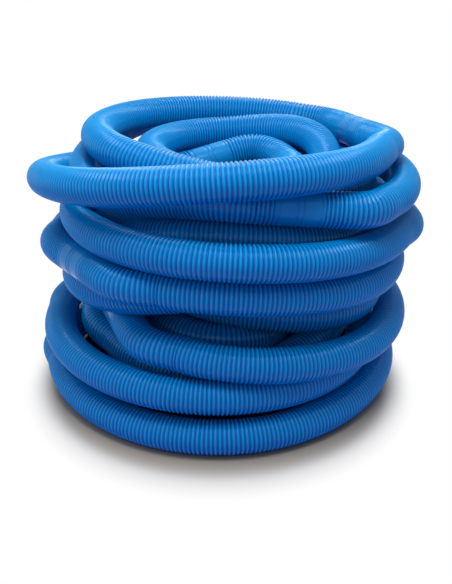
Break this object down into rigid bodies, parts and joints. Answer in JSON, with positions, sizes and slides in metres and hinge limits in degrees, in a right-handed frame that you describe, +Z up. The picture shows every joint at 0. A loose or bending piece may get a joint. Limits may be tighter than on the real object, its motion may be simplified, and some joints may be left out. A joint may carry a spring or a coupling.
{
  "type": "pool vacuum hose",
  "caption": "Corrugated suction hose with smooth moulded cuffs at even spacings, laid in a loose round heap, whose round end bores push onto pool cleaning fittings",
  "frame": {"origin": "on the ground, at the middle of the heap's footprint", "axes": "+Z up, the heap's own vertical axis; -Y towards the viewer, the side with the four most open cuffs; +X to the viewer's right"},
  "size_m": [0.5502, 0.6074, 0.3699],
  "materials": {
    "hose": "satin sheen, mid blue blow-moulded polyethylene",
    "cuff": "smooth satin, blue with a slight violet tint"
  },
  "bodies": {
    "root": {"cuff_00": "cuff", "cuff_01": "cuff", "cuff_02": "cuff", "cuff_03": "cuff", "cuff_04": "cuff", "cuff_05": "cuff", "cuff_06": "cuff", "cuff_07": "cuff", "cuff_08": "cuff", "cuff_09": "cuff", "cuff_10": "cuff", "cuff_11": "cuff", "cuff_12": "cuff", "cuff_13": "cuff", "cuff_14": "cuff", "cuff_15": "cuff", "cuff_16": "cuff", "hose_section_01": "hose", "hose_section_02": "hose", "hose_section_03": "hose", "hose_section_04": "hose", "hose_section_05": "hose", "hose_section_06": "hose", "hose_section_07": "hose", "hose_section_08": "hose", "hose_section_09": "hose", "hose_section_10": "hose", "hose_section_11": "hose", "hose_section_12": "hose", "hose_section_13": "hose", "hose_section_14": "hose", "hose_section_15": "hose", "hose_section_16": "hose"}
  },
  "joints": []
}
